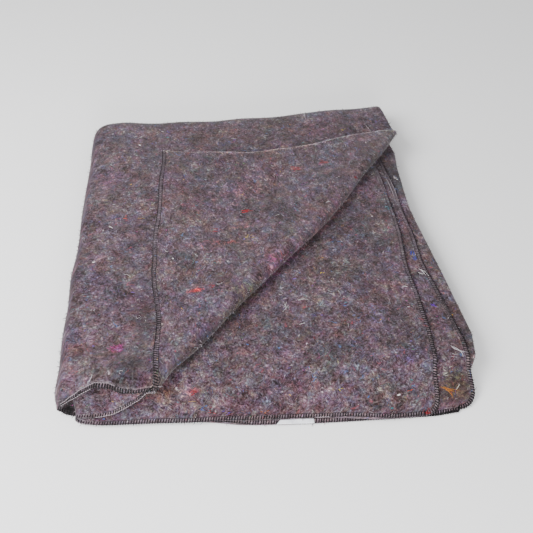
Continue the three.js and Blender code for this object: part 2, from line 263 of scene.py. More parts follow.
# Where a ply's flat part starts and ends, in x
def endsOf(i, run, cut=0):
    part = strip[i]
    start = lookUp(edges[part["start"]], run) - (strip[i - 1]["way"] * bendOf(strip[i - 1]) if i else cut)
    end = lookUp(edges[part["end"]], run) - (strip[i + 1]["way"] * bendOf(strip[i + 1]) if i < 6 else cut)
    return start, end


def acrossAt(column, run, cut):
    x = np.zeros_like(run)
    for i, part in enumerate(strip):
        here = partOf(column) == i
        if "fold" in part:
            x[here] = lookUp(edges[part["fold"]], run[here])
        else:
            start, end = endsOf(i, run[here], cut[here])
            x[here] = start + (end - start) * (column[here] - i)
    return x


# The run at which the cloth ends
def hemRunAt(column):
    x = acrossAt(column, np.full_like(column, frontRun), np.zeros_like(column))
    out = np.zeros_like(column)
    for i, part in enumerate(strip):
        here = partOf(column) == i
        if "ply" in part:
            out[here] = lookUp(frontHems[part["ply"]], x[here])
        else:
            near, far = [lookUp(frontHems[strip[j]["ply"]], x[here]) for j in (i - 1, i + 1)]
            out[here] = near + (far - near) * (column[here] - i)
    return frontRun + out


# The cloth folded across: x, run and level above the lowest ply's underside
def inStack(column, run, cut, side):
    x = acrossAt(column, run, cut)
    level = np.zeros_like(x)
    for i, part in enumerate(strip):
        here = partOf(column) == i
        level[here] = (part["level"] + 0.5) * plyPitch
        if "ply" in part:
            level[here] += side[here] * part["way"]
            continue
        bend = bendOf(part)
        up = np.sign(part["toLevel"] - part["level"])
        reach = bend - side[here] * part["way"] * up
        angle = (column[here] - i) * math.pi
        x[here] += part["way"] * (reach * np.sin(angle) - bend)
        level[here] += up * (bend - reach * np.cos(angle))
    return x, run, level


creaseFoot, creaseTip = np.array(crease["foot"], float), np.array(crease["tip"], float)
creaseLength = np.linalg.norm(creaseTip - creaseFoot)
creaseWay = (creaseTip - creaseFoot) / creaseLength
creaseSide = np.array([creaseWay[1], -creaseWay[0]])


# How far past the crease a place lies, and the roll's radius there
def pastCrease(x, run):
    dx, dy = x - creaseFoot[0], onTop(run) - creaseFoot[1]
    share = np.clip((dx * creaseWay[0] + dy * creaseWay[1]) / creaseLength, 0, 1)
    bow = sum(height * np.exp(-(((share - at) / reach) ** 2)) for at, height, reach in creaseBows)
    return dx * creaseSide[0] + dy * creaseSide[1] - bow, lookUp(rollRadius, share)


# Turns the corner of the outer plies back over the pile, and tells how far past the roll a place lies
def turnBack(x, run, level, outer):
    past, radius = pastCrease(x, run)
    past = np.where(outer, np.maximum(past, 0), 0)
    arc = math.pi * (radius + plyPitch)
    angle = np.minimum(past / arc, 1) * math.pi
    beyond = np.maximum(past - arc, 0)
    reach = radius + stack - level
    moved = reach * np.sin(angle) - beyond - past
    rolled = stack + radius - reach * np.cos(angle) - 2 * radius * ease(beyond / crease["settle"])
    turned = past > 0
    return (
        np.where(turned, x + creaseSide[0] * moved, x),
        np.where(turned, run - creaseSide[1] * moved, run),
        np.where(turned, rolled, level),
        np.where(turned, beyond, 0),
    )


# How far the cloth stands up from its place in the stack
def liftAt(column, x, run, level, beyond):
    y = onTop(run)
    near = np.exp(-((x - footLift["x"]) ** 2 + (y - footLift["y"]) ** 2) / footLift["reach"] ** 2)
    flap = 1 + footLift["flapShare"] * ease(beyond / footLift["flapReach"])
    lift = footLift["height"] * near * ease(x / footLift["fromLeft"]) * flap * isOuter(column)
    wave = lookUp(hemWave["rows"], x) * ease(1 - (y - hemWave["fromY"]) / hemWave["reach"])
    wave = wave * (column > top) * (column <= outerFold) * (beyond == 0)
    press = pinch["share"] * np.clip(1 - x / pinch["toX"], 0, 1) * (column >= top)
    press = press * ease(1 - (y - pinch["fromY"]) / pinch["reach"])
    return lift + wave - press * (level - stack / 2)


# Carries the folded strip round its tuck, its back fold and its front drop
def carry(x, run, level):
    y = np.full_like(x, pile["frontFoldY"] + pile["tuckedLength"])
    z = np.full_like(x, stack - slack / 2 + 2 * tuckRadius)
    heading = np.full_like(x, math.pi)
    turn, foot = np.radians(lookUp(dropTurn, x)), lookUp(dropFoot, x)
    over = stack + tuckRadius
    fall = 2 * over - (over + foot) * (1 - np.cos(turn))
    legs = [  # inside radius, or none for a straight leg, and its turn or length
        (None, pile["tuckedLength"]), (tuckRadius, math.pi), (None, flatLength), (backRadius, math.pi),
        (None, flatLength), (over, turn), (None, fall / np.sin(turn)), (-foot, -turn), (None, mostOut),
    ]
    left = run.copy()
    for radius, amount in legs:
        if radius is None:
            step = np.clip(left, 0, amount)
            y, z = y + np.cos(heading) * step, z + np.sin(heading) * step
        else:
            length = (radius + np.where(radius > 0, stack / 2, 0)) * amount
            step = np.clip(left, 0, length)
            after = heading + amount * step / length
            y = y + radius * (np.sin(after) - np.sin(heading))
            z = z - radius * (np.cos(after) - np.cos(heading))
            heading = after
        left = left - step
    y, z = y + np.sin(heading) * level, z - np.cos(heading) * level
    y = y + ease((y - backBow["fromY"]) / backBow["reach"]) * lookUp(backLine, x)
    return np.stack([x, y, z], axis=1)


# Soft unevenness of the whole pile. It moves all that lies at a place alike, so plies never meet, and it
# leaves the underside flat.
unevenness = {"up": 1.3, "along": 1.1, "fullHeight": 45, "flatHeight": 12}


def ripple(a, b, phase):
    waves = [(0.031, 0.013, 0.3), (-0.017, 0.037, 1.9), (0.053, 0.029, 4.1), (0.041, -0.063, 2.2)]
    return sum(np.sin(p * a + q * b + r + phase) for p, q, r in waves) / 2.2


def settle(places):
    x, y, z = places.T
    up = unevenness["up"] * np.clip(z / unevenness["fullHeight"], 0, 1.3) * ripple(x, y, 0)
    along = unevenness["along"] * ease(z / unevenness["flatHeight"])
    aside, back = along * ripple(y * 1.3, z * 4, 1), along * ripple(x * 1.3, z * 4, 2)
    return (places + np.stack([aside, back, up], axis=1) + np.array(pile["shift"])) / 1000


# Places in metres of points on the cloth. The side is the distance up from the middle of the sheet, and the
# cut is how far a round corner draws a ply's end in.
def layCloth(column, run, side, cut=None):
    column, run, side = [np.asarray(v, float) for v in np.broadcast_arrays(column, run, side)]
    cut = np.zeros_like(column) if cut is None else cut
    middle = turnBack(*inStack(column, run, cut, np.zeros_like(side)), isOuter(column))
    x, along, level, _ = turnBack(*inStack(column, run, cut, side), isOuter(column))
    return settle(carry(x, along, level + liftAt(column, *middle)))


print("fold map ready")


def newPiece(name, verts, faces, material):
    mesh = bpy.data.meshes.new(name)
    mesh.from_pydata(verts.tolist(), [], faces)
    mesh.polygons.foreach_set("use_smooth", [True] * len(mesh.polygons))
    mesh.materials.append(material)
    piece = bpy.data.objects.new(name, mesh)
    bpy.context.scene.collection.objects.link(piece)
    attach(piece, "root")
    return piece


# Lays the piece's own map: places on the flat sheet, in metres
def mapFlat(piece, flat):
    corner = np.empty(len(piece.data.loops), int)
    piece.data.loops.foreach_get("vertex_index", corner)
    piece.data.uv_layers.new(name="flat").data.foreach_set("uv", flat[corner].ravel())


# Closed tubes along many paths of equal length, kept above the floor. Across gives each tube's wide axis.
def strands(paths, wide, high, across=None, sides=4, taper=None):
    count, steps = paths.shape[:2]
    aboveFloor = np.maximum(paths[..., 2:], np.max(high))
    paths = np.concatenate([paths[..., :2], aboveFloor], axis=2)
    ahead = np.gradient(paths, axis=1)
    ahead /= np.linalg.norm(ahead, axis=2, keepdims=True) + 1e-12
    across = np.broadcast_to(np.array([0.31, 0.17, 0.94]) if across is None else across, paths.shape)
    lift = np.cross(ahead, across)
    lift /= np.linalg.norm(lift, axis=2, keepdims=True) + 1e-12
    flat = np.cross(lift, ahead)
    turn = np.arange(sides) / sides * 2 * math.pi
    thin = np.ones(steps) if taper is None else np.asarray(taper)
    wide, high = [np.broadcast_to(np.reshape(size, (-1, 1)), (count, 1)) * thin for size in (wide, high)]
    ring = (
        paths[:, :, None]
        + flat[:, :, None] * (wide[:, :, None] * np.cos(turn))[..., None]
        + lift[:, :, None] * (high[:, :, None] * np.sin(turn))[..., None]
    )
    first = (np.arange(count) * steps * sides)[:, None, None]
    rings = first + (np.arange(steps - 1) * sides)[None, :, None]
    side = np.arange(sides)[None, None, :]
    low, nextSide = rings + side, rings + (side + 1) % sides
    faces = np.stack([low, nextSide, nextSide + sides, low + sides], axis=3).reshape(-1, 4).tolist()
    starts = (first[:, :, 0] + np.arange(sides)[::-1]).tolist()
    ends = (first[:, :, 0] + (steps - 1) * sides + np.arange(sides)).tolist()
    return ring.reshape(-1, 3), faces + starts + ends


def tint(piece, colours, perStrand):
    layer = piece.data.color_attributes.new("tint", "FLOAT_COLOR", "POINT")
    rgba = np.ones((len(piece.data.vertices), 4))
    rgba[:, :3] = np.repeat(colours, perStrand, axis=0)
    layer.data.foreach_set("color", rgba.ravel())


cloth = {
    "thickness": 3.1,  # millimetres, as the sizes below
    "hemShare": 0.66,  # the overlock presses the hem this thin
    "hemWidth": 9,
    "rim": (0.45, 1.2),  # share of the thickness at the very edge, and how far in it is full
    "cell": 7,
    "coarseCell": 28,  # where the cloth is hidden
    "firstCell": 16,  # from a hem
    "coarseFrom": 40,  # between these, from the left, the lowest ply is hidden
    "coarseTo": 400,
    "rollCuts": 10,
    "paintedCrestLight": "a2959b",  # painted highlight along the crest of the turned-back fold, standing for nap that catches the light
    "paintedCrestShare": 0.95,
    "paintedCrestAt": (3.15, 0.17, 20),  # column, its reach, and how far past the crease it is full
    "paintedRollShade": 0.6,  # painted shade along the roll of the turned-back corner, where it turns away from the light
    "paintedRollFades": (0.2, 0.3),  # half turns over which it sets in, and after which it fades
    "paintedContactShade": 0.85,  # painted shadow on the felt beneath the roll
    "paintedContactReach": 15,
    "mean": "453840",  # the felt's mean colour, which a dye and the painted light and shade are set against
    "underShift": 4000,  # the pattern of the lower face is this far from the upper one's
}


# Half the felt's thickness at a distance in from the hem
def halfThickness(inset):
    edge, full = cloth["rim"]
    rim = edge + (1 - edge) * np.sqrt(np.clip(inset / full, 0, 1))
    pressed = cloth["hemShare"] + (1 - cloth["hemShare"]) * ease((inset - 3) / cloth["hemWidth"])
    return cloth["thickness"] / 2 * rim * pressed


def spaced(start, end, size):
    return np.linspace(start, end, max(int(round(abs(end - start) / size)), 1) + 1)


hemInsets = np.array([0, 0.5, 1.3, 3.5, 7, 11])
partWidths = [432, 6, 470, 6, 470, 17, 470]  # nominal, for the cells and the felt's pattern
fittedRows = 25  # the last millimetres of the rows follow the hem


def clothColumns():
    cell, first, start, end = [cloth[name] for name in ("cell", "firstCell", "coarseFrom", "coarseTo")]
    tuckedWide, wide = partWidths[third], partWidths[second]
    fold, ply = np.arange(6) / 6, spaced(0, wide, cell)[:-1] / wide
    lowest = [
        spaced(0, start, cell)[:-1], spaced(start, end, cloth["coarseCell"])[:-1],
        spaced(end, wide - first, cell), wide - hemInsets[::-1],
    ]
    shares = [
        np.concatenate([hemInsets, spaced(first, tuckedWide, cell)[:-1]]) / tuckedWide, fold, ply, fold, ply,
        np.arange(10) / 10, np.concatenate(lowest) / wide,
    ]
    return np.concatenate([i + part for i, part in enumerate(shares)])


def clothRows():
    cell, coarse = cloth["cell"], cloth["coarseCell"]
    last = frontRun + mostOut
    return np.concatenate([
        hemInsets, spaced(18, 44, cell), spaced(60, runTurn, coarse), spaced(runTurn, runUnder, 3)[1:],
        spaced(runUnder, runBack, coarse)[1:], spaced(runBack, runTop, 4)[1:],
        spaced(runTop, last - 18, cell)[1:], last - hemInsets[::-1],
    ])


# Where a column and row lie: the run, how far a round corner cuts the row back, and the distance to a hem
def onCloth(column, row):
    end = hemRunAt(column)
    last = end - fittedRows
    run = np.where(row < last, row, last + fittedRows * (row - last) / (frontRun + mostOut - last))
    fromHem = np.minimum(run, end - run)
    radius = np.where(run < end / 2, pile["tuckedCorner"], pile["frontCorner"])
    cut = radius - np.sqrt(np.maximum(radius**2 - np.maximum(radius - fromHem, 0) ** 2, 0))
    aside = np.full_like(column, np.inf)
    aside[column < innerFold] = column[column < innerFold] * partWidths[third]
    aside[column > fourth] = (7 - column[column > fourth]) * partWidths[fourth]
    return run, cut, np.minimum(fromHem, aside)


# Cuts triangles along the line where the roll of the turned-back corner has turned by an angle, so that the
# facets bend along the crease.
def cutAtTurn(points, triangles, angle):
    column, row = np.array(points).T
    run, cut, _ = onCloth(column, row)
    x, run, _ = inStack(column, run, cut, np.zeros_like(run))
    past, radius = pastCrease(x, run)
    over = past - angle * (radius + plyPitch)
    over[np.abs(over) < 0.4] = 0
    over[~isOuter(column)] = -1
    corners = over[triangles]
    crossing = (corners.max(axis=1) > 0) & (corners.min(axis=1) < 0)
    made, cuts = triangles[~crossing].tolist(), {}

    def between(a, b):
        key = (min(a, b), max(a, b))
        if key not in cuts:
            share = over[a] / (over[a] - over[b])
            cuts[key] = len(points)
            points.append(tuple(np.array(points[a]) + (np.array(points[b]) - np.array(points[a])) * share))
        return cuts[key]

    for triangle in triangles[crossing].tolist():
        turns = [triangle[i:] + triangle[:i] for i in range(3)]
        onLine = [t for t in turns if over[t[0]] == 0]
        if onLine:
            a, b, c = onLine[0]
            middle = between(b, c)
            made += [[a, b, middle], [a, middle, c]]
            continue
        a, b, c = next(t for t in turns if over[t[0]] * over[t[1]] < 0 and over[t[0]] * over[t[2]] < 0)
        ab, ac = between(a, b), between(a, c)
        made += [[a, ab, ac], [ab, b, c], [ab, c, ac]]
    return np.array(made)


def flatAcross(column):
    return np.interp(column, np.arange(8), np.concatenate([[0], np.cumsum(partWidths)]))


# Length along each ply at its left end, where no corner is turned back, so that the felt isn't drawn out
# round the folds
def flatAlong(column, run):
    runs = np.linspace(0, run.max(), 800)
    lengths = []
    for leftEnd in (0.98, 2.02, 4.98, 6.02):
        places = layCloth(np.full(800, leftEnd), runs, np.zeros(800))
        steps = np.linalg.norm(np.diff(places, axis=0), axis=1) * 1000
        lengths.append(np.interp(run, runs, np.concatenate([[0], np.cumsum(steps)])))
    part = partOf(column)
    share, index = column - part, np.arange(len(column))
    lengths = np.array(lengths)
    return lengths[part // 2, index] * (1 - share) + lengths[(part + 1) // 2, index] * share


# Clumps of one dye that stand out, and patches of painted shade, from above: x, y, half width, half depth,
# colour and strength
dyesAndPaintedShade = [
    # painted shade beside the left hem of the turned-back flap
    (-158, -140, 24, 78, "0b0709", 0.47),
    (-168, -208, 46, 36, "0b0709", 0.43),
    # painted shadow beneath the roll at the crease's foot
    (-114, -226, 24, 18, "0b0709", 0.35),
    # painted shadow of the flap's tip on the right strip
    (218, 110, 36, 62, "141016", 0.6),
    # painted shade in the opening of the front left corner
    (-247, -245, 12, 9, "060506", 0.95),
    (-95, 205, 24, 14, "1e1b16", 0.55),
    (-230, 120, 24, 34, "5c3040", 0.42),
    (-235, -105, 20, 32, "5c6674", 0.28),
    (-186, -184, 9, 8, "84285c", 0.9),
    (-132, -238, 26, 18, "6c5648", 0.55),
    (-20, 70, 80, 60, "6c3a40", 0.3),
    (-56, -29, 48, 7, "7c2428", 0.5),
    (-20, 0, 30, 6, "7c2c28", 0.45),
    (-88, -110, 16, 6, "94181c", 0.62),
    (-32, -117, 22, 15, "4c4624", 0.5),
    (15, -67, 22, 20, "70305c", 0.42),
    (67, 114, 20, 7, "842c28", 0.5),
    (112, 128, 14, 7, "84241f", 0.5),
    (196, 37, 10, 9, "145c60", 0.55),
    (172, -216, 17, 20, "4c3468", 0.4),
    (145, -150, 32, 26, "44345c", 0.42),
    (196, -208, 7, 14, "6c441f", 0.45),
    (224, -140, 4, 9, "3c1c6c", 0.5),
    (244, -127, 4, 8, "3c1c6c", 0.4),
    (216, -50, 3, 10, "1c2c74", 0.5),
    (228, -250, 28, 28, "30280f", 0.6),
    (-96, -239, 10, 7, "84202c", 0.55),
    (-56, -260, 8, 6, "30286c", 0.4),
]


# Colour attribute: dyes, painted shade and painted shadow in patches and along the roll, and a painted
# highlight on the fold's crest
def dyeAndPaintedLightAt(places, paintedCrestLight, roll):
    x, y, _ = places.T
    rgba, total = np.zeros((len(x), 4)), np.full(len(x), 1e-6)
    for atX, atY, halfWide, halfDeep, colour, strength in dyesAndPaintedShade:
        weight = strength * np.exp(-(((x - atX) / halfWide) ** 2) - ((y - atY) / halfDeep) ** 2)
        rgba[:, :3] += weight[:, None] * shadesOf([colour])
        rgba[:, 3] = np.maximum(rgba[:, 3], weight)
        total += weight
    rgba[:, :3] *= (1 - roll[:, None]) / total[:, None]
    rgba[:, 3] = np.maximum(rgba[:, 3], roll)
    paintedCrestLight = paintedCrestLight[:, None] * cloth["paintedCrestShare"]
    rgba[:, :3] += (shadesOf([cloth["paintedCrestLight"]]) - rgba[:, :3]) * paintedCrestLight
    rgba[:, 3:] = np.maximum(rgba[:, 3:], paintedCrestLight)
    rgba[:, :3] /= shadesOf([cloth["mean"]])
    return rgba


def makeCloth(material):
    columns, rows = clothColumns(), clothRows()
    wide = len(columns)
    points = [(column, row) for row in rows for column in columns]
    low = (np.arange(len(rows) - 1)[:, None] * wide + np.arange(wide - 1)).ravel()
    right, above = low + 1, low + wide
    way = np.array([strip[i]["way"] for i in partOf(columns[:-1])])
    rising = np.tile(way > 0, len(rows) - 1)[:, None]
    first = np.where(rising, np.stack([low, right, above], 1), np.stack([low, above + 1, above], 1))
    other = np.where(rising, np.stack([right, above + 1, above], 1), np.stack([low, right, above + 1], 1))
    triangles = np.concatenate([first, other])
    for angle in np.linspace(0, math.pi, cloth["rollCuts"] + 1):
        triangles = cutAtTurn(points, triangles, angle)
    column, row = np.array(points).T
    run, cut, inset = onCloth(column, row)
    half = halfThickness(inset)
    upper, lower = [layCloth(column, run, side * half, cut) for side in (1, -1)]
    count = len(points)
    sides = triangles[:, [[0, 1], [1, 2], [2, 0]]].reshape(-1, 2)
    paired = set(map(tuple, sides[:, ::-1].tolist()))
    rim = [[b + count, a + count, a, b] for a, b in sides.tolist() if (a, b) not in paired]
    verts = np.concatenate([upper, lower])
    faces = triangles[:, ::-1].tolist() + (triangles + count).tolist() + rim
    piece = newPiece("felt_cloth", verts, faces, material)
    across, along = flatAcross(column), flatAlong(column, run)
    across = np.concatenate([across, across + cloth["underShift"]])
    mapFlat(piece, np.stack([across, np.tile(along, 2)], 1) / 1000)
    near = piece.data.attributes.new("inset", "FLOAT", "POINT")
    near.data.foreach_set("value", np.tile(inset, 2))
    dyeAndPaintedLight = piece.data.color_attributes.new("dyeAndPaintedLight", "FLOAT_COLOR", "POINT")
    past, radius = pastCrease(*inStack(column, run, cut, np.zeros_like(run))[:2])
    at, reach, full = cloth["paintedCrestAt"]
    # Painted highlight: a light line along the crest of the turned-back fold
    paintedCrestLight = np.exp(-(((column - at) / reach) ** 2)) * (column >= 2.99) * (column <= top) * ease(past / full)
    # Painted shade along the roll, where it turns away from the light
    turned = past / (math.pi * (radius + plyPitch))
    setsIn, fades = cloth["paintedRollFades"]
    roll = cloth["paintedRollShade"] * ease(turned / setsIn) * (1 - ease(turned - fades))
    roll *= (column >= second) * (column <= rightFold)
    # Painted shadow on the ply beneath the roll
    paintedContact = np.exp(-((past / cloth["paintedContactReach"]) ** 2)) * radius / rollRadius[1][1]
    roll += cloth["paintedContactShade"] * paintedContact * (column < innerFold)
    dyeAndPaintedLight.data.foreach_set("color", dyeAndPaintedLightAt(verts * 1000, np.tile(paintedCrestLight, 2), np.tile(roll, 2)).ravel())
    return piece


# Felt of recycled wool and rayon fibres, carded, needled and steamed
felt = {
    "fibre": ["110607", "2a191f", "3d2d35", "4d3f48", "61535c", "898087"],  # tones of the carded fibres
    "toneSpread": (0.22, 0.78),
    "combed": (0.35, 1.35, 2.5),  # ways in which the fibres are drawn out, in radians
    "tones": {"fine": 1.1, "tuft": 0.6, "clump": 0.45},  # how much each size lightens and darkens
    # Contrast and offset of the tone of the combed fibres, of the shade that follows it, and of each mask
    "combedTone": (0.6, -0.925),
    "depth": (2.4, -0.25),
    "hemMask": (-1.2, 7.2),
    "strongMask": (9, -5.2),
    "combedMask": (5, -2.6),
    "dyeAndPaintedLightMask": (5, -6.6),
    "wander": (14, 0.012),  # size in millimetres, and reach in metres
    # How far dyes stray from the mean in red, green and blue, by size
    "hues": {"clumpHue": (1.0, 0.3, 1.0), "tuftHue": (1.5, 0.45, 1.3), "fibreHue": (0.75, 0.3, 0.7)},
    # Size in millimetres, detail, roughness, distortion and shift. Single fibres are too fine to show, so the
    # finest stands for a few.
    "noises": {
        "fine": (2.4, 3, 0.75, 0, 0),
        "tuft": (10, 3, 0.7, 0.2, 3.1),
        "clump": (48, 3, 0.65, 0.8, 7.7),
        "fibreHue": (3, 3, 0.7, 0.3, 31.7),
        "tuftHue": (10, 3, 0.7, 0.3, 31.7),
        "clumpHue": (48, 3, 0.7, 0.3, 31.7),
        "accent": (60, 1, 0.5, 0, 17.9),
        "strong": (9.5, 3, 0.75, 1.5, 23.3),
    },
    "accentSteps": 9,
    "accents": ["742a34", "3c4f8c", "8c3064", "84603a", "2f6f74", "5c3a86", "823630", "6f6a3a", "b8a8b0"],
    "accentShare": 0.8,
    "dyeAndPaintedLightShare": 1.15,
    "threadShare": 0.8,
    # painted light on the felt near the hem, and its share
    "hem": "7c6f76",
    "hemShare": 0.3,
    "threads": [  # curled single threads: tone, size of their curls in millimetres, width, share of the felt
        ("dcd4d9", 7, 0.010, 0.14), ("a89ca3", 4.5, 0.013, 0.25), ("0c090d", 5, 0.026, 0.55),
        ("1c171d", 9, 0.016, 0.45), ("8c3844", 11, 0.012, 0.25), ("4c6ca0", 13, 0.011, 0.22),
    ],
    "lint": [
        "86303e", "2f5690", "2c7c84", "b88a3a", "e9e4e6", "903878", "86443a", "1c1a1d", "6a4a9c", "4a7a4c",
    ],
    # Size in millimetres, reach in its cell, share of the cells, and turn
    "flecks": [(9, 0.14, 0.3, 0.4), (14.4, 0.1, 0.25, 1.9), (30.6, 0.07, 0.25, 2.9)],
    "roughness": 0.95,
    "specular": 0.12,
    "sheen": 0.14,
    "sheenRoughness": 0.6,
    "bump": 0.0012,
}


def makeFelt():
    material, tree, shader = newMaterial("recycled_wool_felt")  # needled shoddy: a matt mottle of many dyes
    over = {"data_type": "RGBA", "blend_type": "MIX"}
    times = {"data_type": "RGBA", "blend_type": "MULTIPLY"}
    clamped = {"operation": "MULTIPLY_ADD", "use_clamp": True}
    flat = addNode(tree, "UVMap", uv_map="flat")
    size, reach = felt["wander"]
    wander = addNode(tree, "TexNoise", {"Vector": flat, "Scale": 1000 / size, "Detail": 3, "Roughness": 0.6})
    wander = addNode(tree, "VectorMath", {0: wander.outputs["Color"], "Scale": reach}, operation="SCALE")
    place = addNode(tree, "VectorMath", (flat, wander), operation="ADD")
    rows, noises = dict(felt["noises"]), {}
    for i, (_, size, _, _) in enumerate(felt["threads"]):
        rows["curl", i] = (size * 2, 1, 0.5, 0.6, 11.3 + 5.1 * i)
        rows["part", i] = (size * 1.1, 1, 0.5, 0, 2.9 + 3.3 * i)
    for name, (size, detail, roughness, distortion, shift) in rows.items():
        shifted = addNode(tree, "VectorMath", (place, (shift, shift * 1.7, 0)), operation="ADD")
        noises[name] = addNode(tree, "TexNoise", {
            "Vector": shifted, "Scale": 1000 / size, "Detail": detail, "Roughness": roughness,
            "Distortion": distortion,
        })
    # Tone: fibres drawn out in three ways, over tufts and clumps
    scale, drawn = 1000 / felt["noises"]["fine"][0], 0
    for turn in felt["combed"]:
        aside = {"Vector": place, "Rotation": (0, 0, turn), "Location": (turn, 1, 0)}
        turned = addNode(tree, "Mapping", aside)
        longer = addNode(tree, "Mapping", {"Vector": turned, "Scale": (0.2, 1, 1)})
        strand = addNode(tree, "TexNoise", {"Vector": longer, "Scale": scale, "Detail": 2, "Roughness": 0.6})
        drawn = addNode(tree, "Math", (drawn, strand), operation="MAXIMUM")
    tone = addNode(tree, "Math", (drawn, *felt["combedTone"]), operation="MULTIPLY_ADD")
    for name, share in felt["tones"].items():
        tone = addNode(tree, "Math", (noises[name], share, tone), operation="MULTIPLY_ADD")
    depth = addNode(tree, "Math", (tone, *felt["depth"]), operation="MULTIPLY_ADD")
    colour = addNode(tree, "ValToRGB", (tone,), ramp={"colours": felt["fibre"], "span": felt["toneSpread"]})
    # Dyes: each size strays in red, green and blue, whatever its tone
    for name, share in felt["hues"].items():
        middle = [1 - part / 2 for part in share]
        hue = noises[name].outputs["Color"]
        hue = addNode(tree, "VectorMath", (hue, share, middle), operation="MULTIPLY_ADD")
        colour = addNode(tree, "Mix", {0: 1, 6: colour, 7: hue}, **times)
    # Painted light: the felt near the hem is lightened, standing for felt that stands up into the light
    # between the stitches
    inset = addNode(tree, "Attribute", attribute_name="inset").outputs["Fac"]
    hem = addNode(tree, "Math", (inset, *felt["hemMask"]), **clamped)
    hem = addNode(tree, "Math", (hem, felt["hemShare"]), operation="MULTIPLY")
    shade = addNode(tree, "VectorMath", {0: linear(felt["hem"])[:3], "Scale": depth}, operation="SCALE")
    colour = addNode(tree, "Mix", {0: hem, 6: colour, 7: shade}, **over)
    # Tufts of a stronger dye
    pick = addNode(tree, "Math", (noises["accent"], felt["accentSteps"]), operation="MULTIPLY")
    pick = addNode(tree, "Math", (pick,), operation="FRACT")
    accent = addNode(tree, "ValToRGB", (pick,), ramp={"colours": felt["accents"], "steps": True})
    shade = addNode(tree, "VectorMath", {0: accent, "Scale": depth}, operation="SCALE")
    strong = addNode(tree, "Math", (noises["strong"], *felt["strongMask"]), **clamped)
    fibres = addNode(tree, "Math", (drawn, *felt["combedMask"]), **clamped)
    strong = addNode(tree, "Math", (strong, fibres), operation="MULTIPLY")
    strong = addNode(tree, "Math", (strong, felt["accentShare"]), operation="MULTIPLY")
    colour = addNode(tree, "Mix", {0: strong, 6: colour, 7: shade}, **over)
    # Named clumps of one dye, with the painted shade and painted highlight, broken up by the fibres
    dyeAndPaintedLight = addNode(tree, "Attribute", attribute_name="dyeAndPaintedLight")
    fibres = addNode(tree, "Math", (noises["tuft"], noises["fine"]), operation="ADD")
    fibres = addNode(tree, "Math", (fibres, dyeAndPaintedLight.outputs["Alpha"]), operation="ADD")
    fibres = addNode(tree, "Math", (fibres, *felt["dyeAndPaintedLightMask"]), **clamped)
    share = addNode(tree, "Math", (dyeAndPaintedLight.outputs["Alpha"], felt["dyeAndPaintedLightShare"]), operation="MULTIPLY")
    share = addNode(tree, "Math", (fibres, share), operation="MULTIPLY", use_clamp=True)
    colour = addNode(tree, "Mix", {0: share, 6: colour, 7: dyeAndPaintedLight}, **times)
    # Curled threads follow level lines of a smooth noise, here and there
    raised = 0
    for i, (shade, _, width, amount) in enumerate(felt["threads"]):
        off = addNode(tree, "Math", (noises["curl", i], 0.5), operation="SUBTRACT")
        off = addNode(tree, "Math", (off,), operation="ABSOLUTE")
        line = addNode(tree, "Math", (off, -1 / width, 1), **clamped)
        here = addNode(tree, "Math", (noises["part", i], 7, -7 * (0.72 - amount * 0.45)), **clamped)
        share = addNode(tree, "Math", (line, here), operation="MULTIPLY")
        share = addNode(tree, "Math", (share, felt["threadShare"]), operation="MULTIPLY")
        colour = addNode(tree, "Mix", {0: share, 6: colour, 7: linear(shade)}, **over)
        raised = addNode(tree, "Math", (raised, share), operation="ADD")
    # Lint: few small tufts of bright fibre, drawn out
    for size, reach, rare, turn in felt["flecks"]:
        drawnOut = (700 / size, 1700 / size, 1)
        cells = addNode(tree, "Mapping", {"Vector": place, "Rotation": (0, 0, turn), "Scale": drawnOut})
        fleck = addNode(tree, "TexVoronoi", {"Vector": cells, "Scale": 1, "Randomness": 1})
        picks = addNode(tree, "SeparateColor", {"Color": fleck.outputs["Color"]}).outputs
        near = addNode(tree, "Math", (fleck, -1.6 / reach, 1.6), **clamped)
        some = addNode(tree, "Math", (picks[1], rare), operation="LESS_THAN")
        share = addNode(tree, "Math", (near, some), operation="MULTIPLY")
        share = addNode(tree, "Math", (share, picks[2]), operation="MULTIPLY")
        shade = addNode(tree, "ValToRGB", (picks[0],), ramp={"colours": felt["lint"], "steps": True})
        colour = addNode(tree, "Mix", {0: share, 6: colour, 7: shade}, **over)
    height = addNode(tree, "Math", (tone, raised), operation="ADD")
    bump = addNode(tree, "Bump", {"Height": height, "Strength": 0.4, "Distance": felt["bump"]})
    setInputs(shader, {
        "Base Color": colour, "Normal": bump, "Roughness": felt["roughness"],
        "Specular IOR Level": felt["specular"], "Sheen Weight": felt["sheen"],
        "Sheen Roughness": felt["sheenRoughness"],
    })
    return material


def tintedMaterial(name, roughness, sheen=0):
    material, tree, shader = newMaterial(name)
    tint = addNode(tree, "Attribute", attribute_name="tint")
    looks = {"Base Color": tint, "Roughness": roughness, "Specular IOR Level": 0.2, "Sheen Weight": sheen}
    setInputs(shader, looks)
    return material


clothPiece = makeCloth(makeFelt())
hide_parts("blanket")
print("cloth made:", len(clothPiece.data.polygons), "faces")

